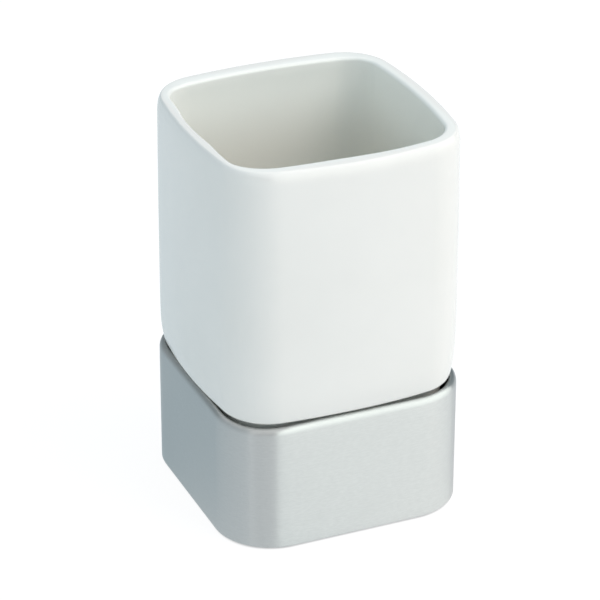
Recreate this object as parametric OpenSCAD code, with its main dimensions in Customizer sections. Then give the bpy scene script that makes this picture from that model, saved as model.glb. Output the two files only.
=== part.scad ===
// Bathroom tumbler: a glazed ceramic cup that stands loose in a brushed steel base.
// Plan shapes are squares with round corners. The cup's sides bow outwards, the base's are straight.
// A wall is drawn once as a flat profile, with x as the distance out from the side and y as the height,
// and is then carried round the plan shape along its four sides and four corners.

/* [Cup] */
// Width of the cup at the lip, across the middle of two facing sides
cup_w = 70; // [62:1:84]
// Radius of the cup's upright corners
corner_r = 14.4; // [12.5:0.1:18]
// How far the middle of each side stands out beyond a straight side
side_bow = 1.3; // [0.6:0.1:2.4]
// Height of the cup's body, from the underside of its shoulder to the lip
body_h = 72.8; // [45:0.2:110]
// How far the sides swell out between the lip and the shoulder
barrel = 0.3; // [0:0.05:0.8]
// Thickness of the cup's wall
wall_t = 4.2; // [3:0.1:5]
// How far below the lip the outside begins to round over
lip_drop = 4.4; // [2.5:0.1:8]
// How far in that curve reaches, to the lip's flat top
lip_edge = 1.3; // [0.6:0.1:1.8]
// Radius between the flat top and the inside
lip_inner_r = 1; // [0.4:0.1:1.2]
// Thickness of the cup's floor
floor_t = 5; // [3:0.1:9]
// Radius of the hollow inside the cup, where its wall meets its floor
inner_fillet_r = 4; // [1:0.1:6]

/* [Shoulder and neck] */
// Radius of the slow curve with which the sides draw in above the shoulder
tuck_r = 35; // [20:1:45]
// Angle through which that curve turns, in degrees
tuck_turn = 11; // [7:0.5:15]
// Radius of the shoulder's edge
shoulder_r = 1.5; // [1.4:0.1:2.9]
// Radius of the hollow between the shoulder's underside and the neck
neck_fillet_r = 0.8; // [0.2:0.1:0.9]
// Gap between the shoulder's underside and the base's rim
shoulder_gap = 0.7; // [0.3:0.1:3]
// Height of the soft step inside the cup, behind the shoulder
inner_step_h = 8; // [5:0.5:14]

/* [Foot] */
// Radius of the foot's outer edge
foot_edge_r = 1.2; // [0.4:0.1:2]
// Width of the flat ring that the cup stands on
foot_ring_w = 3.6; // [2:0.1:4.5]
// Height of the hollow under the cup, inside the foot ring
foot_recess_h = 1.2; // [0.4:0.1:2]

/* [Steel base] */
// Height of the steel base
base_h = 36.5; // [24:0.1:60]
// Thickness of the steel
steel_t = 1.2; // [0.8:0.1:1.8]
// How far the rim, where the steel is folded inwards, stands in from the wall's inner face
rim_fold = 0.9; // [0.4:0.1:1.1]
// Height of the folded rim
rim_fold_h = 2.4; // [1.6:0.1:3]
// How far below the rim the outside of the steel begins to round over
rim_drop = 2; // [0.8:0.1:2.6]
// How far the base's sides stand in from the middle of the cup's sides
base_inset = 0.3; // [0.1:0.05:1.5]
// How far the base's corners reach out beyond the cup's corners
corner_reach = 0.65; // [0.2:0.05:1.5]
// Radius of the base's outer bottom edge
base_edge_r = 0.6; // [0.2:0.1:1.1]
// Radius of the hollow inside the base, where its wall meets its floor
base_fillet_r = 0.8; // [0.2:0.1:0.9]

/* [Liner] */
// Thickness of the liner's wall
liner_wall_t = 1.4; // [1:0.1:2.4]
// Thickness of the liner's floor
liner_floor_t = 1.6; // [1:0.1:3]
// How far the liner's top edge lies below the base's rim
liner_drop = 3; // [2:0.1:10]
// Clearance between the liner and the steel wall round it
liner_gap = 0.15; // [0.1:0.05:0.5]
// Clearance between the cup's neck and the liner, at the middle of a side
neck_gap = 0.4; // [0.3:0.05:1]
// Width of the slope inside the liner's top edge that leads the cup in
lead_in = 0.7; // [0.2:0.1:0.9]
// Radius of the liner's outer bottom edge
liner_edge_r = 0.5; // [0.2:0.1:0.9]
// Radius of the hollow inside the liner, where its wall meets its floor
liner_fillet_r = 0.8; // [0.2:0.1:1]

/* [Tape and bumpers] */
// Width of the square of foam tape under the liner
tape_w = 44; // [20:1:50]
// Radius of the tape's corners
tape_corner_r = 4; // [1:0.5:9]
// Thickness of the tape
tape_t = 1; // [0.8:0.1:2]
// Diameter of a bumper under the cup's foot
bumper_d = 6; // [3:0.2:7]
// Thickness of a bumper
bumper_t = 1.7; // [0.6:0.1:3]
// Radius of a bumper's top edge
bumper_edge_r = 0.3; // [0.1:0.1:0.5]

/* [Foot pad] */
// How far the pad's edge stands in from the base's sides
pad_inset = 3.5; // [1:0.1:8]
// Thickness of the pad
pad_t = 0.5; // [0.5:0.1:3]
// Radius of the pad's lower edge
pad_edge_r = 0.2; // [0.1:0.1:0.4]

/* [Hidden] */

// Shares: where the cup is widest, and where a swept floor ends and the plug that fills it lies,
// between the end of its inner fillet and the middle of its corners; then how much of its width
// the steel's rim rounds over from the outside
widest_share = 0.22;
fillet_share = 0.6;
sweep_end_share = 0.6;
plug_share = 0.3;
rim_share = 2 / 3;

// Steps along the arcs of a profile, and the fineness of the turns in plan
steps = 8;
side_fn = 360;
corner_fn = 96;

// A length is split into a part in round hundredths and the small rest
hundredths = 100;
thousandths = 1000;
function coarse(v) = round(v * hundredths) / hundredths;

// Heights, from the surface that the tumbler stands on
base_z = pad_t;
tape_z = base_z + steel_t;
liner_z = tape_z + tape_t;
bumper_z = liner_z + liner_floor_t;
foot_z = bumper_z + bumper_t;
rim_z = base_z + base_h;
liner_top_z = rim_z - liner_drop;
shoulder_z = rim_z + shoulder_gap;
lip_z = shoulder_z + body_h;
recess_z = foot_z + foot_recess_h;
floor_z = recess_z + floor_t;

// The cup in plan: a side is an arc of radius bow_r about a point bow_x behind the middle, and
// a corner is an arc about the point (corner_c, corner_c). Each side turns by side_turn to either
// side of its middle. The turn is kept to a thousandth of a degree and the rest follows it,
// so that sides and corners meet exactly.
cup_half = cup_w / 2;
side_flat = cup_half - corner_r;
bow_r = (pow(side_flat, 2) + pow(side_bow, 2)) / (2 * side_bow);
bow_x = bow_r - cup_half;
near_c = (sqrt(2 * pow(bow_r - corner_r, 2) - pow(bow_x, 2)) - bow_x) / 2;
side_turn = round(atan2(near_c, near_c + bow_x) * thousandths) / thousandths;
arm = bow_x / (cos(side_turn) - sin(side_turn));
corner_c = arm * sin(side_turn);
cup_corner_r = bow_r - arm;
cup_reach = corner_c * sqrt(2) + cup_corner_r;

// The base in plan: straight sides, and corners that reach a little beyond the cup's.
// The fold of its rim ends above the liner's top edge.
base_half = cup_half - base_inset;
base_corner_r = coarse((base_half * sqrt(2) - cup_reach - corner_reach) / (sqrt(2) - 1));
liner_in = steel_t + liner_gap;
rim_w = steel_t + rim_fold;
fold_h = min(rim_fold_h, liner_drop - liner_gap);
neck_inset = base_inset + liner_in + liner_wall_t + neck_gap;

// The cup's profile, outside: lip, swelling side, tuck, shoulder and neck
side_top_z = lip_z - lip_drop;
widest_z = shoulder_z + body_h * widest_share;
tuck_z = shoulder_z + shoulder_r + (tuck_r - shoulder_r) * sin(tuck_turn);
function swell(z) = barrel * (1 - pow((z - widest_z) / (side_top_z - widest_z), 2));
tuck_x = swell(tuck_z) - tuck_r;
shoulder_x = tuck_x + (tuck_r - shoulder_r) * cos(tuck_turn);
neck_hollow_r = min(neck_fillet_r, neck_inset + shoulder_x);

// The cup's profile, inside: the wall steps in with the neck, so that its thickness stays even
neck_inner = neck_inset + wall_t;
step_z = shoulder_z + wall_t - inner_step_h / 2;
cup_fillet_r = min(inner_fillet_r, fillet_share * (cup_corner_r - neck_inner));
cup_fillet_in = neck_inner + cup_fillet_r;
cup_sweep_in = between(cup_fillet_in, cup_corner_r, sweep_end_share);
cup_plug_in = between(cup_fillet_in, cup_corner_r, plug_share);
foot_in = neck_inset + foot_edge_r + foot_ring_w;
ring_middle = neck_inset + foot_edge_r + foot_ring_w / 2;

function between(a, b, share) = a + (b - a) * share;

// Points along an arc about [x, y], from angle a to angle b
function arc(x, y, r, a, b) =
    [for (i = [0:steps]) let (t = between(a, b, i / steps)) [x + r * cos(t), y + r * sin(t)]];

// Points of the lip: a small quarter circle up from the inside, and a long curve down to the side
function lip_points() = concat(
    arc(lip_inner_r - wall_t, lip_z - lip_inner_r, lip_inner_r, 180, 90),
    [for (i = [0:steps]) let (t = 90 * i / steps)
        [lip_edge * (sin(t) - 1), side_top_z + lip_drop * cos(t)]]
);

// Points of the swelling side, from below the lip down to the tuck
function side_points() =
    [for (i = [1:steps - 1]) let (z = between(side_top_z, tuck_z, i / steps)) [swell(z), z]];

// Points of the soft step inside, from the neck's inner wall up to the body's
function step_points() =
    [for (i = [0:steps]) let (t = i / steps)
        [-wall_t - (neck_inner - wall_t) * (1 + cos(180 * t)) / 2, step_z + inner_step_h * t]];

function cup_profile() = concat(
    lip_points(),
    side_points(),
    arc(tuck_x, tuck_z, tuck_r, 0, -tuck_turn),
    arc(shoulder_x, shoulder_z + shoulder_r, shoulder_r, -tuck_turn, -90),
    arc(neck_hollow_r - neck_inset, shoulder_z - neck_hollow_r, neck_hollow_r, 90, 180),
    arc(-neck_inset - foot_edge_r, foot_z + foot_edge_r, foot_edge_r, 0, -90),
    [[-foot_in, foot_z], [-foot_in - foot_recess_h, recess_z]],
    [[-cup_sweep_in, recess_z], [-cup_sweep_in, floor_z]],
    arc(-cup_fillet_in, floor_z + cup_fillet_r, cup_fillet_r, -90, 0),
    step_points()
);

// A tray's profile: outer bottom edge, wall, top as given, inner hollow and part of the floor
function tray_profile(z, floor_h, wall, edge_r, hollow_r, in, top) = concat(
    arc(-edge_r, z + edge_r, edge_r, -90, 0),
    top,
    arc(-wall - hollow_r, z + floor_h + hollow_r, hollow_r, 0, -90),
    [[-in, z + floor_h], [-in, z]]
);

// How far in a tray's or a sheet's swept floor and its plug reach, from its corner radius
function sweep_in(r, edge_in) = between(edge_in, r, sweep_end_share);
function plug_in(r, edge_in) = between(edge_in, r, plug_share);

// Moves a shape by a length in two steps, of which the second is tiny, so that no digit is lost
module shift(x, y = 0) {
    translate([coarse(x), coarse(y)])
        translate([x - coarse(x), y - coarse(y)])
            children();
}

// Carries a flat profile round the cup's plan shape
module round_cup() {
    for (q = [0:90:270]) rotate([0, 0, q]) {
        shift(-bow_x)
            rotate_extrude(angle = 2 * side_turn, start = -side_turn, $fn = side_fn)
                shift(bow_r) children();
        shift(corner_c, corner_c)
            rotate_extrude(angle = 90 - 2 * side_turn, start = side_turn, $fn = corner_fn)
                shift(cup_corner_r) children();
    }
}

// Carries a flat profile round a straight-sided square of half width half and corner radius r
module round_square(half, r) {
    for (q = [0:90:270]) rotate([0, 0, q]) {
        translate([half, half - r, 0])
            rotate([90, 0, 0])
                linear_extrude(2 * (half - r)) children();
        translate([half - r, half - r, 0])
            rotate_extrude(angle = 90, $fn = corner_fn)
                translate([r, 0]) children();
    }
}

// A point in plan, turned by angle q about the middle
function turned(x, y, q) = [x * cos(q) - y * sin(q), x * sin(q) + y * cos(q)];

// Fills the middle of a swept floor: its edges lie hidden inside what the sweep made
module cup_plug(in) {
    r = bow_r - in;
    linear_extrude(floor_z - recess_z) polygon([
        for (q = [0:90:270], i = [-2:2]) let (t = side_turn * i / 2)
            turned(r * cos(t) - bow_x, r * sin(t), q)
    ]);
}

module square_plug(half, r, in, h) {
    linear_extrude(h) polygon([
        for (q = [0:90:270], y = [r - half, half - r]) turned(half - in, y, q)
    ]);
}

// A flat sheet with round corners, whose lower edge is rounded
module sheet(half, r, z, t, edge_r) {
    in = sweep_in(r, edge_r);
    round_square(half, r)
        polygon(concat(arc(-edge_r, z + edge_r, edge_r, -90, 0), [[0, z + t], [-in, z + t], [-in, z]]));
    translate([0, 0, z]) square_plug(half, r, plug_in(r, edge_r), t);
}

// The glazed cup, with its neck and its unglazed foot ring
module ceramic_cup() {
    color("whitesmoke") {
        round_cup() polygon(cup_profile());
        translate([0, 0, recess_z]) cup_plug(cup_plug_in);
    }
}

// Points of the steel's rim: a long curve up from the outside, a small quarter circle inwards, and
// the underside of the fold, which stays clear of the liner's top edge
function rim_points() = let (outer = rim_w * rim_share, inner = rim_w - outer) concat(
    [for (i = [0:steps - 1]) let (t = 90 * i / steps)
        [outer * (cos(t) - 1), rim_z - rim_drop * (1 - sin(t))]],
    arc(-outer, rim_z - inner, inner, 90, 180),
    [[-rim_w, rim_z - fold_h], [-steel_t, rim_z - fold_h]]
);

// The drawn steel tray, with its folded rim
module steel_base() {
    fillet_in = steel_t + base_fillet_r;
    color("silver") {
        round_square(base_half, base_corner_r)
            polygon(tray_profile(base_z, steel_t, steel_t, base_edge_r, base_fillet_r,
                sweep_in(base_corner_r, fillet_in), rim_points()));
        translate([0, 0, base_z])
            square_plug(base_half, base_corner_r, plug_in(base_corner_r, fillet_in), steel_t);
    }
}

// The black moulded liner that guides the cup's neck
module base_liner() {
    half = base_half - liner_in;
    r = base_corner_r - liner_in;
    fillet_in = liner_wall_t + liner_fillet_r;
    color([0.08, 0.08, 0.09]) {
        round_square(half, r)
            polygon(tray_profile(liner_z, liner_floor_t, liner_wall_t, liner_edge_r, liner_fillet_r,
                sweep_in(r, fillet_in), [[0, liner_top_z], [lead_in - liner_wall_t, liner_top_z],
                [-liner_wall_t, liner_top_z - lead_in]]));
        translate([0, 0, liner_z]) square_plug(half, r, plug_in(r, fillet_in), liner_floor_t);
    }
}

// The foam tape between the steel floor and the liner's floor
module liner_tape() {
    color("lightgray") sheet(tape_w / 2, tape_corner_r, tape_z, tape_t, pad_edge_r);
}

// Four soft bumpers under the corners of the cup's foot ring
module cup_bumpers() {
    r = bumper_d / 2;
    edge = arc(r - bumper_edge_r, bumper_t - bumper_edge_r, bumper_edge_r, 0, 90);
    place = (cup_reach - ring_middle) / sqrt(2);
    color("gainsboro")
        for (x = [-place, place], y = [-place, place])
            translate([x, y, bumper_z])
                rotate_extrude($fn = corner_fn)
                    polygon(concat([[0, 0], [r, 0]], edge, [[0, bumper_t]]));
}

// The non-slip pad under the steel tray
module foot_pad() {
    color("dimgray") sheet(base_half - pad_inset, base_corner_r - pad_inset, 0, pad_t, pad_edge_r);
}

ceramic_cup();
steel_base();
base_liner();
liner_tape();
cup_bumpers();
foot_pad();
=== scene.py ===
"""Bathroom tumbler: a glazed ceramic cup, square with bowed sides, loose in a brushed steel base.

Laid out as an add-on and run as a script. Every length is in metres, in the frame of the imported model.
The front is towards -Y, the left side towards -X, and the tumbler stands on z = 0.
"""
from math import atan2, cos, pi, radians, sin, sqrt

import bmesh
import bpy
from bpy.props import FloatProperty, FloatVectorProperty, IntProperty, PointerProperty
from mathutils import Euler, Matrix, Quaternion, Vector


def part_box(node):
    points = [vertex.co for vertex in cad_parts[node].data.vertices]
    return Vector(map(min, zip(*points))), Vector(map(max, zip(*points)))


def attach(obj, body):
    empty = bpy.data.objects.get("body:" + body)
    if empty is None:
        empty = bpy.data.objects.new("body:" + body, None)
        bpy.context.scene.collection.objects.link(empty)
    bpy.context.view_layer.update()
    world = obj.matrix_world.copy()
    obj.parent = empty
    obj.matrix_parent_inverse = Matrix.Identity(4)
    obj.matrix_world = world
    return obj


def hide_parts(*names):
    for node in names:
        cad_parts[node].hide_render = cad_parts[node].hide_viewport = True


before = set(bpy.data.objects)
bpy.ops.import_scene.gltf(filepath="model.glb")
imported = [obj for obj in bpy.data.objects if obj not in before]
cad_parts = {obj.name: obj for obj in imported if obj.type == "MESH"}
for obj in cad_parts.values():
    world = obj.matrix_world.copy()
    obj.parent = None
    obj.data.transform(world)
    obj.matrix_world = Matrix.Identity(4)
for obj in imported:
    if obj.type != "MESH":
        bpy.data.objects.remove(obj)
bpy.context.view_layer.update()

bl_info = {
    "name": "Bathroom Tumbler",
    "version": (1, 0, 0),
    "blender": (4, 5, 0),
    "location": "View3D > Sidebar > Tumbler",
    "description": "Adds a glazed ceramic cup that stands loose in a brushed steel base",
    "category": "Add Mesh",
}

MM = 0.001
# Points nearer to each other than this are joined
JOIN = MM / 200
# An edge this near to a height lies at it
LEVEL = MM / 50
# Higher than anything in the scene
ABOVE_ALL = 9


def low(node):
    """The lowest corner of a CAD node's box"""
    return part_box(node)[0]


def high(node):
    """The highest corner of a CAD node's box"""
    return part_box(node)[1]


# Sizes and colours

def length(name, about, default):
    """A length that a user can change"""
    return FloatProperty(name=name, description=about, default=default, min=0, precision=5,
                         subtype="DISTANCE", unit="LENGTH")


def angle(name, about, default):
    """An angle that a user can change, given here in degrees"""
    return FloatProperty(name=name, description=about, default=radians(default), subtype="ANGLE",
                         unit="ROTATION")


def tint(name, about, default):
    """A colour that a user can change"""
    return FloatVectorProperty(name=name, description=about, default=default, size=3, min=0, max=1,
                               subtype="COLOR")


def share(name, about, default, top=1):
    """A plain number that a user can change"""
    return FloatProperty(name=name, description=about, default=default, min=0, max=top)


class CupSizes(bpy.types.PropertyGroup):
    """Sizes and glaze of the cup"""
    corner: length("Corner radius", "Radius of the cup's upright corners", 14.4 * MM)
    bow: length("Side bow", "How far the middle of a side stands out beyond a straight side", 1.3 * MM)
    barrel: length("Barrel", "How far the sides swell out between lip and shoulder", 0.3 * MM)
    wall: length("Wall", "Thickness of the wall", 4.2 * MM)
    lip_drop: length("Lip drop", "How far below the lip the outside begins to round over", 4.4 * MM)
    lip_edge: length("Lip edge", "How far in that curve reaches, to the lip's flat top", 1.3 * MM)
    lip_inner: length("Lip inner edge", "Radius between the flat top and the inside", 1 * MM)
    floor: length("Floor", "Thickness of the floor", 5 * MM)
    inner_fillet: length("Inner fillet", "Radius where wall and floor meet inside", 4 * MM)
    tuck: length("Tuck radius", "Radius with which the sides draw in above the shoulder", 35 * MM)
    tuck_turn: angle("Tuck turn", "Angle through which the sides draw in", 11)
    shoulder: length("Shoulder radius", "Radius of the shoulder's edge", 1.5 * MM)
    shoulder_gap: length("Shoulder gap", "Gap between the shoulder and the base's rim", 0.7 * MM)
    neck_inset: length("Neck inset", "How far the neck stands in from the sides", 3.45 * MM)
    neck_fillet: length("Neck fillet", "Radius between shoulder and neck", 0.8 * MM)
    inner_step: length("Inner step", "Height of the soft step inside, behind the shoulder", 8 * MM)
    foot_edge: length("Foot edge", "Radius of the foot's outer edge", 1.2 * MM)
    foot_ring: length("Foot ring", "Width of the ring that the cup stands on", 3.6 * MM)
    foot_recess: length("Foot recess", "Height of the hollow under the cup", 1.2 * MM)
    # Painted light and shade inside the cup: the inside tone is painted lighter near the mouth, and the
    # well tone darker far down, where shade falls
    inside: tint("Inside glaze", "Colour of the glaze inside, near the mouth", (0.938, 0.957, 0.898))
    well_painted_shade: tint("Well glaze", "Colour of the glaze inside, far down", (0.8, 0.796, 0.732))
    glaze: tint("Glaze", "Colour of the glaze", (0.91, 0.902, 0.845))
    pooled: tint("Pooled glaze", "Colour where the glaze lies thicker", (0.887, 0.88, 0.822))
    clay: tint("Clay", "Colour of the bare foot ring", (0.78, 0.74, 0.67))
    gloss: share("Glaze roughness", "Roughness of the glaze", 0.16)


class BaseSizes(bpy.types.PropertyGroup):
    """Sizes and finish of the steel base"""
    corner: length("Corner radius", "Radius of the base's upright corners", 16.1 * MM)
    sheet: length("Sheet", "Thickness of the steel", 1.2 * MM)
    rim: length("Rim", "Width of the rim, where the steel is folded inwards", 2.1 * MM)
    rim_drop: length("Rim drop", "How far below the rim the outside begins to round over", 2 * MM)
    fold: length("Fold", "Height of the folded rim", 2.4 * MM)
    edge: length("Bottom edge", "Radius of the outer bottom edge", 0.6 * MM)
    fillet: length("Inner fillet", "Radius where wall and floor meet inside", 0.8 * MM)
    steel: tint("Steel", "Colour of the steel", (0.565, 0.58, 0.575))
    worn: tint("Brushed steel", "Colour of the brighter brush lines", (0.615, 0.63, 0.625))
    brushing: share("Roughness", "Roughness of the brushed steel", 0.37)
    grain: share("Grain", "How much longer the brushing spreads a highlight one way", 0.95)


class LinerSizes(bpy.types.PropertyGroup):
    """Sizes and finish of the liner"""
    wall: length("Wall", "Thickness of the wall", 1.4 * MM)
    floor: length("Floor", "Thickness of the floor", 1.6 * MM)
    lead_in: length("Lead-in", "Width of the slope inside the top edge", 0.7 * MM)
    edge: length("Bottom edge", "Radius of the outer bottom edge", 0.5 * MM)
    fillet: length("Inner fillet", "Radius where wall and floor meet inside", 0.8 * MM)
    plastic: tint("Plastic", "Colour of the liner", (0.016, 0.016, 0.018))


class SoftSizes(bpy.types.PropertyGroup):
    """Sizes and colours of the tape, the bumpers and the foot pad"""
    tape_corner: length("Tape corner", "Radius of the tape's corners", 4 * MM)
    bumper_edge: length("Bumper edge", "Radius of a bumper's top edge", 0.3 * MM)
    bumper_place: length("Bumper place", "Distance of each bumper from the middle planes", 24.97 * MM)
    pad_corner: length("Pad corner", "Radius of the pad's corners", 12.6 * MM)
    pad_edge: length("Pad edge", "Radius of the pad's lower edge", 0.2 * MM)
    foam: tint("Tape", "Colour of the foam tape", (0.74, 0.74, 0.73))
    silicone: tint("Bumpers", "Colour of the bumpers", (0.72, 0.74, 0.74))
    rubber: tint("Pad", "Colour of the foot pad", (0.045, 0.045, 0.05))


class StudioSettings(bpy.types.PropertyGroup):
    """The camera's place and the light"""
    azimuth: angle("Azimuth", "Turn of the camera from the front, towards the right", -23.4497)
    elevation: angle("Elevation", "Height of the camera as an angle", 27.5401)
    roll: angle("Roll", "Turn of the camera about its line of sight", 0.1721)
    distance: length("Distance", "Distance of the camera", 0.824845)
    aim: length("Aim height", "Height of the point that the camera looks at", 0.0548)
    lens: FloatProperty(name="Focal length", description="Focal length on a 36 mm sensor, in millimetres",
                        default=182.986, min=1)
    ambient: tint("Ambient light", "Colour of the light from all round", (0.597, 0.684, 0.752))
    fill: share("Ambient strength", "Strength of the light from all round", 1, 4)
    key: share("Key strength", "Power of the main soft lamp, in watts", 6.7, 100)
    steps: IntProperty(name="Steps", description="Steps along half a side of the cup", default=12, min=2)


# Modelling by hand

def pick(piece, kind, test):
    """Selects, in the mesh that is open, only the vertices, edges or faces that pass a test"""
    bpy.ops.mesh.select_mode(type=kind)
    bpy.ops.mesh.select_all(action="DESELECT")
    mesh = bmesh.from_edit_mesh(piece.data)
    for part in {"VERT": mesh.verts, "EDGE": mesh.edges, "FACE": mesh.faces}[kind]:
        if not part.hide and test(part):
            part.select_set(True)
    mesh.select_flush_mode()
    bmesh.update_edit_mesh(piece.data)


def place_of(part):
    """Middle of an edge, or of a face"""
    return sum((v.co for v in part.verts), Vector()) / len(part.verts)


class Pen:
    """Draws a wall's profile with edges, upright in the plane through the middle of the front side.

    out is the distance out from a side that stands half away from the middle, and up is the height.
    A turn is anticlockwise with out to the right. Every line and arc leaves its end selected.
    """

    def __init__(self, name, half, out, up):
        bpy.ops.object.select_all(action="DESELECT")
        bpy.ops.mesh.primitive_plane_add(size=MM, calc_uvs=False)
        self.piece = bpy.context.object
        self.piece.name = self.piece.data.name = name
        self.half = half
        bpy.ops.object.mode_set(mode="EDIT")
        bpy.ops.mesh.select_mode(type="VERT")
        bpy.ops.mesh.select_all(action="SELECT")
        bpy.ops.mesh.merge(type="CENTER")
        bpy.ops.transform.translate(value=(0, -half - out, up))
        self.out, self.up = out, up

    def line(self, out, up, steps=1):
        """A straight line to a point"""
        step = Vector((0, self.out - out, up - self.up)) / steps
        for _ in range(steps):
            bpy.ops.mesh.extrude_region_move(TRANSFORM_OT_translate={"value": step})
        self.out, self.up = out, up

    def path(self, points):
        """A line through several points"""
        for out, up in points:
            self.line(out, up)

    def arc(self, out, up, turn, steps):
        """An arc about a point"""
        bpy.ops.mesh.spin(steps=steps, angle=turn, center=(0, -self.half - out, up), axis=(1, 0, 0))
        across, rise = self.out - out, self.up - up
        self.out = out + across * cos(turn) - rise * sin(turn)
        self.up = up + across * sin(turn) + rise * cos(turn)


def turned(point, quarters):
    """A point in plan, turned by quarters of a circle about the middle"""
    x, y = point
    for _ in range(quarters):
        x, y = -y, x
    return x, y


def carry(centre, turn, steps):
    """Carries the selected profile anticlockwise round an upright line"""
    bpy.ops.mesh.spin(steps=steps, angle=-turn, center=(*centre, 0), axis=(0, 0, 1))


def carry_on(way, steps):
    """Carries the selected profile straight on"""
    for _ in range(steps):
        step = Vector((*way, 0)) / steps
        bpy.ops.mesh.extrude_region_move(TRANSFORM_OT_translate={"value": step})


def carry_round_cup(piece, half, corner, bow, side_steps, corner_steps):
    """Carries a profile round the cup's plan, in which sides and corners are arcs that meet smoothly"""
    flat = half - corner
    bow_r = (flat ** 2 + bow ** 2) / (2 * bow)
    far = bow_r - half
    near = (sqrt(2 * (bow_r - corner) ** 2 - far ** 2) - far) / 2
    side_turn = atan2(near, near + far)
    centre = far / (cos(side_turn) - sin(side_turn)) * sin(side_turn)
    bpy.ops.mesh.select_all(action="SELECT")
    carry((0, far), side_turn, side_steps)
    for quarter in range(4):
        carry(turned((centre, -centre), quarter), pi / 2 - 2 * side_turn, corner_steps)
        last = quarter == 3
        carry(turned((-far, 0), quarter), side_turn * (1 if last else 2), side_steps * (1 if last else 2))
    join_ends()


def carry_round_square(half, corner, side_steps, corner_steps):
    """Carries a profile round a square with straight sides and round corners"""
    flat = half - corner
    bpy.ops.mesh.select_all(action="SELECT")
    carry_on((flat, 0), side_steps)
    for quarter in range(4):
        carry(turned((flat, -flat), quarter), pi / 2, corner_steps)
        last = quarter == 3
        way = turned((0, flat if last else 2 * flat), quarter)
        carry_on(way, side_steps * (1 if last else 2))
    join_ends()


def join_ends():
    """Joins points that coincide, such as the last ring of a sweep and its first"""
    bpy.ops.mesh.select_all(action="SELECT")
    bpy.ops.mesh.remove_doubles(threshold=JOIN)


def face_outwards():
    """Turns all faces outwards"""
    bpy.ops.mesh.select_all(action="SELECT")
    bpy.ops.mesh.normals_make_consistent(inside=False)


def close_middle(piece, height, rings, dish=0):
    """Fills the open edge at a height with rings that shrink to a point, sunk in the middle by dish"""
    pick(piece, "EDGE", lambda e: e.is_boundary and abs(place_of(e).z - height) < LEVEL)
    sunk = 0
    for ring in range(1, rings):
        size = 1 - ring / rings
        shrink = size / (1 - (ring - 1) / rings)
        sink = dish * (1 - size ** 2)
        bpy.ops.mesh.extrude_region_move(TRANSFORM_OT_translate={"value": (0, 0, sunk - sink)})
        bpy.ops.transform.resize(value=(shrink, shrink, 1), center_override=(0, 0, 0))
        sunk = sink
    bpy.ops.mesh.extrude_region_move(TRANSFORM_OT_translate={"value": (0, 0, sunk - dish)})
    bpy.ops.mesh.merge(type="CENTER")


def pull(piece, place, way, reach):
    """Pulls the vertex nearest to a place, and with it what lies within reach along the surface"""
    mesh = bmesh.from_edit_mesh(piece.data)
    seen = [v for v in mesh.verts if not v.hide]
    nearest = min(seen, key=lambda v: (v.co - Vector(place)).length).index
    pull_all(piece, lambda v: v.index == nearest, way, reach)


def pull_all(piece, test, way, reach):
    """Pulls the vertices that pass a test, and with them what lies within reach along the surface"""
    pick(piece, "VERT", test)
    bpy.ops.transform.translate(value=way, use_proportional_edit=True, proportional_size=reach,
                                proportional_edit_falloff="SMOOTH", use_proportional_connected=True)


def finish_piece(piece, body, nodes, material, crease=40):
    """Closes the mesh, turns its faces outwards, smooths it and sets the piece in the frame"""
    join_ends()
    face_outwards()
    bpy.ops.mesh.select_all(action="DESELECT")
    bpy.ops.object.mode_set(mode="OBJECT")
    bpy.ops.object.shade_smooth_by_angle(angle=radians(crease))
    piece.data.materials.clear()
    piece.data.materials.append(material)
    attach(piece, body)
    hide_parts(*nodes)
    open_edges = count_open_edges(piece)
    if open_edges:
        raise RuntimeError(f"{piece.name} has {open_edges} open edges")


def count_open_edges(piece):
    """Number of edges of a piece that don't have exactly two faces"""
    mesh = bmesh.new()
    mesh.from_mesh(piece.data)
    count = sum(1 for e in mesh.edges if len(e.link_faces) != 2)
    mesh.free()
    return count


# Finishes

def add_node(tree, kind, output, inputs=None, **settings):
    """Adds a node to a tree, sets it up, and returns one of its outputs"""
    node = tree.nodes.new(kind)
    for setting, value in settings.items():
        setattr(node, setting, value)
    for socket, value in (inputs or {}).items():
        if isinstance(value, bpy.types.NodeSocket):
            tree.links.new(value, node.inputs[socket])
        else:
            node.inputs[socket].default_value = value
    return node.outputs[output]


def reach_in_plan(tree, place, flat):
    """How far a point lies beyond a square, seen from above"""
    across = add_node(tree, "ShaderNodeVectorMath", 0, {0: place}, operation="ABSOLUTE")
    beyond = add_node(tree, "ShaderNodeVectorMath", 0, {0: across, 1: (flat, flat, ABOVE_ALL)},
                      operation="SUBTRACT")
    kept = add_node(tree, "ShaderNodeVectorMath", 0, {0: beyond, 1: (0, 0, 0)}, operation="MAXIMUM")
    return add_node(tree, "ShaderNodeVectorMath", "Value", {0: kept}, operation="LENGTH")


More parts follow.
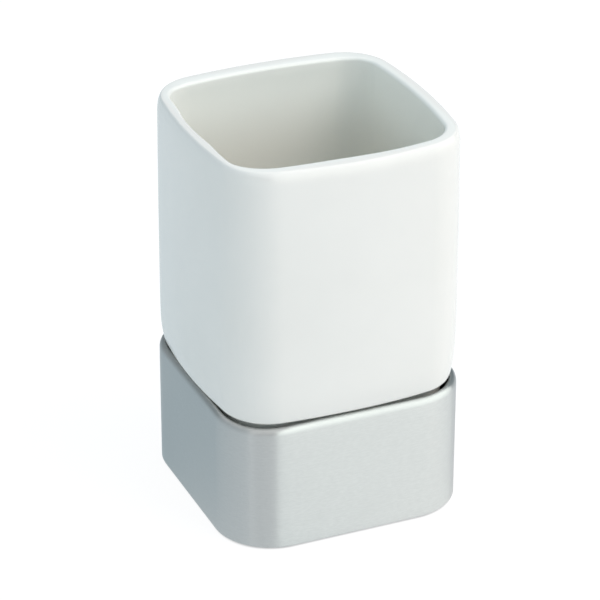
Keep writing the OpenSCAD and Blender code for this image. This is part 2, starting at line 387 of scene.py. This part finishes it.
class Finish:
    """A material whose nodes are added one after the other"""

    def __init__(self, name, shown, sockets):
        self.material = bpy.data.materials.new(name)
        self.material.use_nodes = True
        self.material.diffuse_color = (*shown, 1)
        self.tree = self.material.node_tree
        self.shader = self.tree.nodes["Principled BSDF"]
        self.place = self.add("ShaderNodeTexCoord", "Object")
        for socket, value in sockets.items():
            self.shader.inputs[socket].default_value = value

    def add(self, kind, output, inputs=None, **settings):
        """Adds a node to the material and returns one of its outputs"""
        return add_node(self.tree, kind, output, inputs, **settings)

    def link(self, value, socket):
        """Links an output to one of the shader's sockets"""
        self.tree.links.new(value, self.shader.inputs[socket])

    def stretched(self, scale):
        """Object coordinates, stretched"""
        return self.add("ShaderNodeMapping", "Vector", {"Vector": self.place, "Scale": scale})

    def noise(self, place, scale, detail=2, roughness=0.5):
        """A soft noise from 0 to 1"""
        return self.add("ShaderNodeTexNoise", "Fac", {
            "Vector": place, "Scale": scale, "Detail": detail, "Roughness": roughness})

    def ramp(self, value, start, end, to_start=0, to_end=1, smooth=True):
        """Carries a value from one range to another"""
        return self.add("ShaderNodeMapRange", "Result", {
            "Value": value, "From Min": start, "From Max": end, "To Min": to_start, "To Max": to_end},
            interpolation_type="SMOOTHSTEP" if smooth else "LINEAR")

    def blend(self, factor, first, second, blend_type="MIX"):
        """Mixes two colours"""
        return self.add("ShaderNodeMix", 2, {
            0: factor, 6: first if isinstance(first, bpy.types.NodeSocket) else (*first, 1),
            7: second if isinstance(second, bpy.types.NodeSocket) else (*second, 1)},
            data_type="RGBA", blend_type=blend_type)

    def math(self, operation, *values):
        """One step of arithmetic"""
        return self.add("ShaderNodeMath", 0, dict(enumerate(values)), operation=operation)

    def bump(self, height, distance, strength, below=None):
        """A bump of a real depth, on top of one below it"""
        inputs = {"Height": height, "Distance": distance, "Strength": strength}
        if below is not None:
            inputs["Normal"] = below
        return self.add("ShaderNodeBump", "Normal", inputs)


def glaze_finish(cup, half, foot_z, lip_z):
    """White gloss glaze: slightly pooled, with painted light on the lip's top, painted light and shade
    inside, and bare clay on the foot ring
    """
    finish = Finish("white_glaze", cup.glaze, {"Roughness": cup.gloss, "IOR": 1.5})
    height = finish.add("ShaderNodeSeparateXYZ", "Z", {0: finish.place})
    drift = finish.noise(finish.place, 28, 3)
    pooling = finish.ramp(drift, 0.3, 0.75)
    color = finish.blend(pooling, cup.glaze, cup.pooled)
    # Painted light and shade inside the cup: the inside is painted lighter near the mouth and darker from 6
    # to 28 mm down, where shade falls
    depth = finish.ramp(height, lip_z - 6 * MM, lip_z - 28 * MM)
    inner = finish.blend(depth, cup.inside, cup.well_painted_shade)
    plan = reach_in_plan(finish.tree, finish.place, half - cup.corner)
    inward = finish.ramp(plan, cup.corner - 2.2 * MM, cup.corner - cup.wall + 0.4 * MM)
    color = finish.blend(inward, color, inner)
    # Painted light: the top 2 mm of the lip is painted a bluer tone, as pale light from above falls on it
    lip_painted_light = finish.ramp(height, lip_z - 2.2 * MM, lip_z + 0.4 * MM, 0, 0.35)
    color = finish.blend(lip_painted_light, color, (0.905, 0.903, 0.872))
    specks = finish.add("ShaderNodeTexVoronoi", "Distance", {"Vector": finish.place, "Scale": 55})
    speck = finish.ramp(specks, 0.006, 0.012, 0.35, 0)
    color = finish.blend(speck, color, (0.35, 0.3, 0.24))
    edge = finish.noise(finish.place, 240)
    line = finish.math("ADD", height, finish.math("MULTIPLY", edge, 0.5 * MM))
    glazed = finish.ramp(line, foot_z + 0.62 * MM, foot_z + 0.8 * MM)
    grain = finish.noise(finish.place, 2600, 3)
    bare = finish.blend(finish.ramp(grain, 0.35, 0.7), cup.clay, (0.7, 0.65, 0.57))
    finish.link(finish.blend(glazed, bare, color), "Base Color")
    finish.link(finish.ramp(glazed, 0, 1, 0.85, cup.gloss, False), "Roughness")
    wave = finish.noise(finish.place, 60, 1)
    peel = finish.noise(finish.place, 700, 2)
    normal = finish.bump(wave, 0.22 * MM, 0.25)
    normal = finish.bump(peel, 0.008 * MM, 0.25, normal)
    rough = finish.math("MULTIPLY", grain, finish.math("SUBTRACT", 1, glazed))
    finish.link(finish.bump(rough, 0.12 * MM, 0.6, normal), "Normal")
    return finish.material


def steel_finish(base):
    """Stainless steel with fine brush lines that run round the base"""
    finish = Finish("brushed_steel", base.steel, {
        "Metallic": 1, "Roughness": base.brushing, "Anisotropic": base.grain, "Anisotropic Rotation": 0.25})
    long_lines = finish.noise(finish.stretched((25, 25, 3400)), 1, 4, 0.65)
    short_lines = finish.noise(finish.stretched((600, 600, 2400)), 1, 3, 0.6)
    drift = finish.noise(finish.place, 45, 3)
    lines = finish.math("ADD", finish.math("MULTIPLY", long_lines, 0.3),
                        finish.math("MULTIPLY", short_lines, 0.7))
    color = finish.blend(finish.ramp(lines, 0.32, 0.68), base.steel, base.worn)
    shade = finish.ramp(drift, 0.3, 0.7, 0, 0.2)
    finish.link(finish.blend(shade, color, base.steel), "Base Color")
    finish.link(finish.ramp(lines, 0.3, 0.7, base.brushing - 0.03, base.brushing + 0.03), "Roughness")
    finish.link(finish.bump(lines, 0.006 * MM, 0.3), "Normal")
    return finish.material


def liner_finish(liner):
    """Black plastic with the fine texture of its mould"""
    finish = Finish("moulded_plastic", liner.plastic, {"Roughness": 0.5, "IOR": 1.49})
    grain = finish.noise(finish.place, 3200, 3, 0.6)
    drift = finish.noise(finish.place, 90, 2)
    lighter = tuple(2.2 * c for c in liner.plastic)
    color = finish.blend(finish.ramp(drift, 0.35, 0.7, 0, 0.6), liner.plastic, lighter)
    finish.link(color, "Base Color")
    finish.link(finish.ramp(drift, 0.3, 0.7, 0.44, 0.58), "Roughness")
    finish.link(finish.bump(grain, 0.05 * MM, 0.5), "Normal")
    return finish.material


def foam_finish(name, color, cells, depth, contrast):
    """Foam or sponge rubber with fine cells"""
    finish = Finish(name, color, {"Roughness": 0.85, "IOR": 1.5})
    cell = finish.add("ShaderNodeTexVoronoi", "Distance", {"Vector": finish.place, "Scale": cells})
    drift = finish.noise(finish.place, 120, 2)
    # Painted shade: the pits of the cells are painted darker, as shade falls in them; the drift below
    # darkens at random
    pits = finish.ramp(cell, 0.05, 0.4)
    darker = tuple(c * (1 - contrast) for c in color)
    shade = finish.blend(pits, darker, color)
    finish.link(finish.blend(finish.ramp(drift, 0.3, 0.8, 0, 0.35), shade, darker), "Base Color")
    finish.link(finish.ramp(drift, 0.3, 0.7, 0.78, 0.92), "Roughness")
    finish.link(finish.bump(pits, depth, 0.6), "Normal")
    return finish.material


def silicone_finish(soft):
    """Milky soft silicone"""
    finish = Finish("milky_silicone", soft.silicone, {
        "Roughness": 0.35, "IOR": 1.41, "Subsurface Weight": 0.35,
        "Subsurface Radius": (1, 0.9, 0.8), "Subsurface Scale": 1.2 * MM})
    cloud = finish.noise(finish.place, 500, 3)
    dust = finish.noise(finish.place, 4200, 2)
    paler = tuple(min(1, 1.12 * c) for c in soft.silicone)
    finish.link(finish.blend(finish.ramp(cloud, 0.35, 0.7), soft.silicone, paler), "Base Color")
    finish.link(finish.ramp(dust, 0.4, 0.7, 0.3, 0.48), "Roughness")
    finish.link(finish.bump(dust, 0.01 * MM, 0.4), "Normal")
    return finish.material


# Pieces

class CupOperator(bpy.types.Operator):
    """Add the glazed cup, with its shoulder, its neck and its bare foot ring"""
    bl_idname = "mesh.tumbler_add_cup"
    bl_label = "Add Cup"
    bl_options = {"REGISTER", "UNDO"}

    def execute(self, context):
        cup = context.scene.tumbler_cup
        half = high("ceramic_cup").x - cup.barrel
        lip_z, foot_z = high("ceramic_cup").z, low("ceramic_cup").z
        shoulder_z = high("steel_base").z + cup.shoulder_gap
        recess_z = foot_z + cup.foot_recess
        floor_z = recess_z + cup.floor
        inner_r = cup.lip_inner
        side_top = lip_z - cup.lip_drop
        widest = shoulder_z + 0.22 * (lip_z - shoulder_z)
        tuck_z = shoulder_z + cup.shoulder + (cup.tuck - cup.shoulder) * sin(cup.tuck_turn)

        def swell(z):
            return cup.barrel * (1 - ((z - widest) / (side_top - widest)) ** 2)

        tuck_out = swell(tuck_z) - cup.tuck
        shoulder_out = tuck_out + (cup.tuck - cup.shoulder) * cos(cup.tuck_turn)
        hollow = min(cup.neck_fillet, cup.neck_inset + shoulder_out)
        neck_inner = cup.neck_inset + cup.wall
        step_z = shoulder_z + cup.wall - cup.inner_step / 2
        foot_in = cup.neck_inset + cup.foot_edge + cup.foot_ring

        pen = Pen("glazed_cup", half, -neck_inner - cup.inner_fillet, floor_z)
        piece = pen.piece
        pen.arc(-neck_inner - cup.inner_fillet, floor_z + cup.inner_fillet, pi / 2, 8)
        pen.line(-neck_inner, step_z, 8)
        steps = 12
        pen.path([(-cup.wall - (neck_inner - cup.wall) * (1 + cos(pi * i / steps)) / 2,
                   step_z + cup.inner_step * i / steps) for i in range(1, steps + 1)])
        pen.line(-cup.wall, lip_z - inner_r, 24)
        pen.arc(inner_r - cup.wall, lip_z - inner_r, -pi / 2, 8)
        pen.line(-cup.lip_edge, lip_z)
        steps = 14
        pen.path([(cup.lip_edge * (sin(t) - 1), side_top + cup.lip_drop * cos(t)) for t in
                  (pi / 2 * i / steps for i in range(1, steps + 1))])
        steps = 24
        pen.path([(swell(z), z) for z in
                  (side_top + (tuck_z - side_top) * i / steps for i in range(1, steps + 1))])
        pen.arc(tuck_out, tuck_z, -cup.tuck_turn, 8)
        pen.arc(shoulder_out, shoulder_z + cup.shoulder, cup.tuck_turn - pi / 2, 12)
        pen.line(hollow - cup.neck_inset, shoulder_z)
        pen.arc(hollow - cup.neck_inset, shoulder_z - hollow, pi / 2, 5)
        pen.line(-cup.neck_inset, foot_z + cup.foot_edge, 6)
        pen.arc(-cup.neck_inset - cup.foot_edge, foot_z + cup.foot_edge, -pi / 2, 7)
        pen.line(-foot_in, foot_z, 3)
        pen.line(-foot_in - cup.foot_recess, recess_z, 2)
        steps = context.scene.tumbler_studio.steps
        carry_round_cup(piece, half, cup.corner, cup.bow, steps, 26)
        close_middle(piece, recess_z, 8, -0.15 * MM)
        close_middle(piece, floor_z, 8, 0.25 * MM)
        face_outwards()
        settle_shoulder(piece, shoulder_z + 0.5 * MM)
        settle_mouth(piece, lip_z)
        finish_piece(piece, "cup", ["ceramic_cup"], glaze_finish(cup, half, foot_z, lip_z))
        return {"FINISHED"}


def settle_shoulder(piece, height):
    """Sets the shoulder's corners a little out of true, as a kiln does: the front left one sags outwards"""
    corner = 29.5 * MM
    pull(piece, (-corner, -corner, height), (-0.14 * MM, -0.12 * MM, -0.12 * MM), 17 * MM)
    pull(piece, (-19 * MM, -35 * MM, height), (0, -0.12 * MM, -0.08 * MM), 15 * MM)
    pull(piece, (32 * MM, -27 * MM, height), (-0.45 * MM, 0.3 * MM, 0), 15 * MM)
    pull(piece, (-corner, corner, height), (0.3 * MM, -0.3 * MM, 0), 13 * MM)


def settle_mouth(piece, lip_z):
    """Leaves the lip uneven, as on a cast cup: it sags along the front and is thinner on the left"""
    pull(piece, (2 * MM, -34 * MM, lip_z), (0, 0, -0.35 * MM), 24 * MM)
    pick(piece, "VERT", lambda v: v.normal.x * v.co.x + v.normal.y * v.co.y > -0.002 * v.co.length)
    bpy.ops.mesh.hide(unselected=False)
    edge = lip_z - 2 * MM
    pull_all(piece, lambda v: v.co.z > edge and v.co.x < -30.4 * MM, (-0.9 * MM, 0, 0), 13 * MM)
    pull_all(piece, lambda v: v.co.z > edge and v.co.y > 29.4 * MM, (0, -0.35 * MM, -0.3 * MM), 5 * MM)
    pull(piece, (-3 * MM, -31 * MM, edge), (0, 0.8 * MM, 0), 19 * MM)
    pull(piece, (-30 * MM, -22 * MM, edge), (-0.35 * MM, -0.45 * MM, 0), 12 * MM)
    pull(piece, (-31 * MM, -8 * MM, edge), (0.3 * MM, 0, 0), 9 * MM)
    pull(piece, (-31 * MM, 15 * MM, edge), (0.5 * MM, 0, 0), 10 * MM)
    bpy.ops.mesh.reveal(select=False)


class BaseOperator(bpy.types.Operator):
    """Add the brushed steel base"""
    bl_idname = "mesh.tumbler_add_base"
    bl_label = "Add Steel Base"
    bl_options = {"REGISTER", "UNDO"}

    def execute(self, context):
        base = context.scene.tumbler_base
        half = high("steel_base").x
        foot, rim = low("steel_base").z, high("steel_base").z
        floor = foot + base.sheet
        outer = base.rim * 2 / 3
        inner = base.rim - outer
        soft = 0.3 * MM
        pen = Pen("brushed_base", half, -base.edge - 2 * MM, foot)
        pen.line(-base.edge, foot)
        pen.arc(-base.edge, foot + base.edge, pi / 2, 8)
        pen.line(0, rim - base.rim_drop, 14)
        steps = 10
        pen.path([(outer * (cos(t) - 1), rim - base.rim_drop * (1 - sin(t))) for t in
                  (pi / 2 * i / steps for i in range(1, steps + 1))])
        pen.arc(-outer, rim - inner, pi / 2, 8)
        pen.line(-base.rim, rim - base.fold + soft, 2)
        pen.arc(soft - base.rim, rim - base.fold + soft, pi / 2, 4)
        pen.line(-base.sheet, rim - base.fold)
        pen.line(-base.sheet, floor + base.fillet, 12)
        pen.arc(-base.sheet - base.fillet, floor + base.fillet, -pi / 2, 8)
        carry_round_square(half, base.corner, 4, 32)
        close_middle(pen.piece, foot, 6)
        close_middle(pen.piece, floor, 6)
        face_outwards()
        pull(pen.piece, (-30 * MM, -30 * MM, rim), (0, 0, -0.5 * MM), 15 * MM)
        finish_piece(pen.piece, "base", ["steel_base"], steel_finish(base))
        return {"FINISHED"}


class LinerOperator(bpy.types.Operator):
    """Add the black liner that guides the cup's neck"""
    bl_idname = "mesh.tumbler_add_liner"
    bl_label = "Add Liner"
    bl_options = {"REGISTER", "UNDO"}

    def execute(self, context):
        liner = context.scene.tumbler_liner
        half = high("base_liner").x
        corner = context.scene.tumbler_base.corner - (high("steel_base").x - half)
        foot, top = low("base_liner").z, high("base_liner").z
        floor = foot + liner.floor
        soft = 0.2 * MM
        pen = Pen("black_liner", half, -liner.edge - 2 * MM, foot)
        pen.line(-liner.edge, foot)
        pen.arc(-liner.edge, foot + liner.edge, pi / 2, 6)
        pen.line(0, top - soft, 10)
        pen.arc(-soft, top - soft, pi / 2, 4)
        pen.line(liner.lead_in - liner.wall, top)
        pen.line(-liner.wall, top - liner.lead_in)
        pen.line(-liner.wall, floor + liner.fillet, 10)
        pen.arc(-liner.wall - liner.fillet, floor + liner.fillet, -pi / 2, 6)
        carry_round_square(half, corner, 4, 24)
        close_middle(pen.piece, foot, 6)
        close_middle(pen.piece, floor, 6)
        finish_piece(pen.piece, "base", ["base_liner"], liner_finish(liner))
        return {"FINISHED"}


class TapeOperator(bpy.types.Operator):
    """Add the foam tape that holds the liner to the steel floor"""
    bl_idname = "mesh.tumbler_add_tape"
    bl_label = "Add Foam Tape"
    bl_options = {"REGISTER", "UNDO"}

    def execute(self, context):
        soft = context.scene.tumbler_soft
        half = high("liner_tape").x
        foot, top = low("liner_tape").z, high("liner_tape").z
        thick = top - foot
        pen = Pen("foam_tape", half, -1.5 * MM, foot)
        pen.line(-0.12 * MM, foot)
        pen.path([(-0.02 * MM, foot + 0.08 * thick), (-0.16 * MM, foot + 0.3 * thick),
                  (-0.2 * MM, foot + 0.5 * thick), (-0.16 * MM, foot + 0.7 * thick),
                  (0, foot + 0.92 * thick), (-0.12 * MM, top), (-1.5 * MM, top)])
        carry_round_square(half, soft.tape_corner, 8, 12)
        close_middle(pen.piece, foot, 6)
        close_middle(pen.piece, top, 6)
        foam = foam_finish("white_foam", soft.foam, 2600, 0.12 * MM, 0.25)
        finish_piece(pen.piece, "base", ["liner_tape"], foam)
        return {"FINISHED"}


class BumperOperator(bpy.types.Operator):
    """Add the four soft bumpers on the liner's floor"""
    bl_idname = "mesh.tumbler_add_bumpers"
    bl_label = "Add Bumpers"
    bl_options = {"REGISTER", "UNDO"}

    def execute(self, context):
        soft = context.scene.tumbler_soft
        foot, top = low("cup_bumpers").z, high("cup_bumpers").z
        place = soft.bumper_place
        radius = high("cup_bumpers").x - place
        silicone = silicone_finish(soft)
        pen = Pen("bumper_1", radius, -radius + 0.4 * MM, foot)
        pen.line(-0.1 * MM, foot, 4)
        pen.line(0, foot + 0.1 * MM)
        pen.line(-0.08 * MM, top - soft.bumper_edge - 0.15 * MM, 3)
        pen.arc(-0.08 * MM - soft.bumper_edge, top - soft.bumper_edge - 0.15 * MM, 0.42 * pi, 5)
        dome = [(0.86, 0.05), (0.7, 0.028), (0.5, 0.012), (0.3, 0.004), (0.12, 0.0)]
        pen.path([(radius * (share_out - 1), top - down * MM) for share_out, down in dome])
        bpy.ops.mesh.select_all(action="SELECT")
        carry((0, 0), 2 * pi, 40)
        join_ends()
        close_middle(pen.piece, foot, 1)
        close_middle(pen.piece, top, 1)
        bpy.ops.mesh.select_all(action="SELECT")
        bpy.ops.transform.translate(value=(-place, -place, 0))
        first = pen.piece
        finish_piece(first, "base", ["cup_bumpers"], silicone)
        for number, (x, y) in enumerate(((1, -1), (1, 1), (-1, 1)), 2):
            bpy.ops.object.select_all(action="DESELECT")
            first.select_set(True)
            context.view_layer.objects.active = first
            bpy.ops.object.duplicate(linked=False)
            copy = context.object
            copy.name = copy.data.name = f"bumper_{number}"
            bpy.ops.object.mode_set(mode="EDIT")
            bpy.ops.mesh.select_all(action="SELECT")
            bpy.ops.transform.translate(value=((x + 1) * place, (y + 1) * place, 0))
            bpy.ops.object.mode_set(mode="OBJECT")
        return {"FINISHED"}


class PadOperator(bpy.types.Operator):
    """Add the non-slip pad under the base"""
    bl_idname = "mesh.tumbler_add_pad"
    bl_label = "Add Foot Pad"
    bl_options = {"REGISTER", "UNDO"}

    def execute(self, context):
        soft = context.scene.tumbler_soft
        half = high("foot_pad").x
        foot, top = low("foot_pad").z, high("foot_pad").z
        pen = Pen("rubber_pad", half, -soft.pad_edge - 1.5 * MM, foot)
        pen.line(-soft.pad_edge, foot, 2)
        pen.arc(-soft.pad_edge, foot + soft.pad_edge, pi / 2, 5)
        pen.line(0, top, 3)
        pen.line(-2 * MM, top)
        carry_round_square(half, soft.pad_corner, 8, 20)
        close_middle(pen.piece, foot, 8)
        close_middle(pen.piece, top, 6)
        rubber = foam_finish("sponge_rubber", soft.rubber, 1500, 0.15 * MM, 0.45)
        finish_piece(pen.piece, "base", ["foot_pad"], rubber)
        return {"FINISHED"}


# Stage

LAMP_AZIMUTH = 45
# Tones of the floor's painted reflection: the lit side towards the lamp and the far side opposite it
LIT_SIDE = (1, 1, 1)
FAR_SIDE = (0.5, 0.6, 0.65)
PICTURE_SHIFT = (-0.011015, -0.003133)


def empty_material(name):
    """A material without any node"""
    material = bpy.data.materials.new(name)
    material.use_nodes = True
    material.node_tree.nodes.clear()
    return material


def show(tree, kind, surface):
    """Ends a tree with its output node"""
    tree.links.new(surface, tree.nodes.new(kind).inputs["Surface"])


def seen_by(tree):
    """1 for what the camera, a reflection or a clear material sees, else 0"""
    path = tree.nodes.new("ShaderNodeLightPath")
    value = path.outputs["Is Camera Ray"]
    for kind in ("Is Glossy Ray", "Is Transmission Ray"):
        value = add_node(tree, "ShaderNodeMath", 0, {0: value, 1: path.outputs[kind]}, operation="MAXIMUM")
    return value


def floor_finish(flat, corner):
    """A plain pale floor, white to the camera with a soft shadow and a painted shadow under the base; in
    reflections its glow is a painted reflection, brightest towards the lamp and darker on the far side
    """
    material = empty_material("studio_floor")
    tree = material.node_tree
    place = add_node(tree, "ShaderNodeTexCoord", "Object")
    # Painted reflection: only reflections see these tones, which paint the floor brightest towards the lamp
    # and darker on the far side
    around = add_node(tree, "ShaderNodeTexGradient", "Fac", {0: place}, gradient_type="RADIAL")
    painted_reflection_tones = add_node(tree, "ShaderNodeValToRGB", "Color", {0: around})
    stops = painted_reflection_tones.node.color_ramp.elements
    lit, far = Vector(LIT_SIDE), Vector(FAR_SIDE)
    left = far.lerp(lit, (90 - LAMP_AZIMUTH) / 180)
    lamp_at = (LAMP_AZIMUTH + 90) / 360
    while len(stops) < 4:
        stops.new(0.5)
    for stop, position, tone in zip(stops, (0, lamp_at, lamp_at + 0.5, 1), (left, lit, far, left)):
        stop.position = position
        stop.color = (*tone, 1)
    shine = add_node(tree, "ShaderNodeLightPath", "Is Glossy Ray")
    tone = add_node(tree, "ShaderNodeMix", 2, {0: shine, 6: (0.9, 0.9, 0.9, 1), 7: painted_reflection_tones}, data_type="RGBA")
    # Painted shadow: the floor's glow is painted down to 0.12 under the base's footprint, rising to full
    # just inside its edge
    under = add_node(tree, "ShaderNodeMapRange", "Result", {
        "Value": reach_in_plan(tree, place, flat), "From Min": corner - 1.9 * MM,
        "From Max": corner - 0.3 * MM, "To Min": 0.12})
    plain = add_node(tree, "ShaderNodeBsdfDiffuse", 0, {"Color": (0.8, 0.8, 0.8, 1)})
    faint = add_node(tree, "ShaderNodeBsdfDiffuse", 0, {"Color": (0.16, 0.16, 0.16, 1)})
    glow = add_node(tree, "ShaderNodeEmission", 0, {"Color": tone, "Strength": under})
    white = add_node(tree, "ShaderNodeAddShader", 0, {0: faint, 1: glow})
    both = add_node(tree, "ShaderNodeMixShader", 0, {0: seen_by(tree), 1: plain, 2: white})
    show(tree, "ShaderNodeOutputMaterial", both)
    return material


def soft_lamp(name, place, aim, size, power, color=(1, 1, 1)):
    """A soft rectangular lamp that faces a point"""
    bpy.ops.object.light_add(type="AREA", location=place)
    lamp = bpy.context.object
    lamp.name = lamp.data.name = name
    lamp.data.shape = "RECTANGLE"
    lamp.data.size, lamp.data.size_y = size
    lamp.data.energy = power
    lamp.data.color = color
    lamp.rotation_euler = (Vector(place) - Vector(aim)).to_track_quat("Z", "Y").to_euler()
    return lamp


def shine_card(name, azimuth, distance, size, color):
    """An upright card out of the picture, which only the object's shine shows"""
    bpy.ops.mesh.primitive_plane_add(size=1)
    card = bpy.context.object
    card.name = card.data.name = name
    bpy.ops.object.mode_set(mode="EDIT")
    bpy.ops.mesh.select_all(action="SELECT")
    bpy.ops.transform.resize(value=(*size, 1))
    bpy.ops.object.mode_set(mode="OBJECT")
    card.location = round_the_object(azimuth, 0, distance, size[1] / 2)
    card.rotation_euler = (pi / 2, 0, azimuth)
    material = empty_material(name)
    glow = add_node(material.node_tree, "ShaderNodeEmission", 0, {
        "Color": (*(c / max(color) for c in color), 1), "Strength": max(color)})
    show(material.node_tree, "ShaderNodeOutputMaterial", glow)
    card.data.materials.append(material)
    for ray in ("camera", "diffuse", "transmission", "shadow", "volume_scatter"):
        setattr(card, f"visible_{ray}", False)


def round_the_object(azimuth, elevation, distance, aim):
    """A point that lies at an azimuth from the front, towards the right, and at an elevation"""
    way = Vector((sin(azimuth) * cos(elevation), -cos(azimuth) * cos(elevation), sin(elevation)))
    return Vector((0, 0, aim)) + way * distance


class StageOperator(bpy.types.Operator):
    """Add the floor, the light and the camera"""
    bl_idname = "scene.tumbler_add_stage"
    bl_label = "Add Stage"
    bl_options = {"REGISTER", "UNDO"}

    def execute(self, context):
        studio, base = context.scene.tumbler_studio, context.scene.tumbler_base
        bpy.ops.object.select_all(action="DESELECT")
        bpy.ops.mesh.primitive_plane_add(size=16)
        floor = context.object
        floor.name = "studio_floor"
        floor.data.materials.append(floor_finish(high("steel_base").x - base.corner, base.corner))

        world = bpy.data.worlds.new("studio_light")
        context.scene.world = world
        world.use_nodes = True
        tree = world.node_tree
        tree.nodes.clear()
        room = add_node(tree, "ShaderNodeBackground", 0, {
            "Color": (*studio.ambient, 1), "Strength": studio.fill})
        white = add_node(tree, "ShaderNodeBackground", 0, {"Color": (1, 1, 1, 1), "Strength": 1})
        both = add_node(tree, "ShaderNodeMixShader", 0, {0: seen_by(tree), 1: room, 2: white})
        show(tree, "ShaderNodeOutputWorld", both)

        place = round_the_object(radians(LAMP_AZIMUTH), radians(50), 1.1, 0.06)
        lamp = soft_lamp("key_light", place, (0, 0, 0.06), (0.9, 0.7), studio.key, (1, 0.88, 0.83))
        lamp.visible_glossy = False
        shine_card("bright_card", radians(42), 0.88, (2.4, 1.6), (1.95, 2.03, 1.95))
        shine_card("dark_card", radians(-31), 1.3, (1, 0.35), (0.06, 0.07, 0.07))
        shine_card("left_card", radians(-98), 1.25, (1.9, 1.6), (0.5, 0.55, 0.58))
        shine_card("back_card", radians(162), 1.2, (4.6, 1.6), (0.27, 0.31, 0.33))

        where = round_the_object(studio.azimuth, studio.elevation, studio.distance, studio.aim)
        bpy.ops.object.camera_add(location=where)
        camera = context.object
        camera.name = "photo_view"
        level = Euler((pi / 2 - studio.elevation, 0, studio.azimuth)).to_quaternion()
        camera.rotation_euler = (level @ Quaternion((0, 0, 1), studio.roll)).to_euler()
        camera.data.sensor_width = 36
        camera.data.lens = studio.lens
        camera.data.shift_x, camera.data.shift_y = PICTURE_SHIFT
        camera.data.clip_start = 0.01
        camera.data.clip_end = 60
        context.scene.camera = camera
        context.scene.view_settings.view_transform = "Standard"
        return {"FINISHED"}


class TumblerPanel(bpy.types.Panel):
    """Lists the tumbler's pieces and their sizes"""
    bl_idname = "VIEW3D_PT_tumbler"
    bl_label = "Tumbler"
    bl_space_type = "VIEW_3D"
    bl_region_type = "UI"
    bl_category = "Tumbler"

    def draw(self, context):
        layout = self.layout
        for operators, settings in PANEL_ROWS:
            column = layout.column(align=True)
            for operator in operators:
                column.operator(operator.bl_idname)
            group = getattr(context.scene, settings)
            for name in group.__annotations__:
                column.prop(group, name)


SETTINGS = {"tumbler_cup": CupSizes, "tumbler_base": BaseSizes, "tumbler_liner": LinerSizes,
            "tumbler_soft": SoftSizes, "tumbler_studio": StudioSettings}
OPERATORS = (StageOperator, CupOperator, BaseOperator, LinerOperator, TapeOperator, BumperOperator,
             PadOperator)
PANEL_ROWS = (((CupOperator,), "tumbler_cup"), ((BaseOperator,), "tumbler_base"),
              ((LinerOperator,), "tumbler_liner"),
              ((TapeOperator, BumperOperator, PadOperator), "tumbler_soft"),
              ((StageOperator,), "tumbler_studio"))


def register():
    """Adds the settings, the operators and the panel"""
    for cls in (*SETTINGS.values(), *OPERATORS, TumblerPanel):
        bpy.utils.register_class(cls)
    for name, cls in SETTINGS.items():
        setattr(bpy.types.Scene, name, PointerProperty(type=cls))


def unregister():
    """Takes them away again"""
    for name in SETTINGS:
        delattr(bpy.types.Scene, name)
    for cls in reversed((*SETTINGS.values(), *OPERATORS, TumblerPanel)):
        bpy.utils.unregister_class(cls)


def main():
    """Builds the scene"""
    register()
    bpy.ops.object.select_all(action="DESELECT")
    bpy.ops.scene.tumbler_add_stage()
    bpy.ops.mesh.tumbler_add_cup()
    bpy.ops.mesh.tumbler_add_base()
    bpy.ops.mesh.tumbler_add_liner()
    bpy.ops.mesh.tumbler_add_tape()
    bpy.ops.mesh.tumbler_add_bumpers()
    bpy.ops.mesh.tumbler_add_pad()


if __name__ == "__main__":
    main()
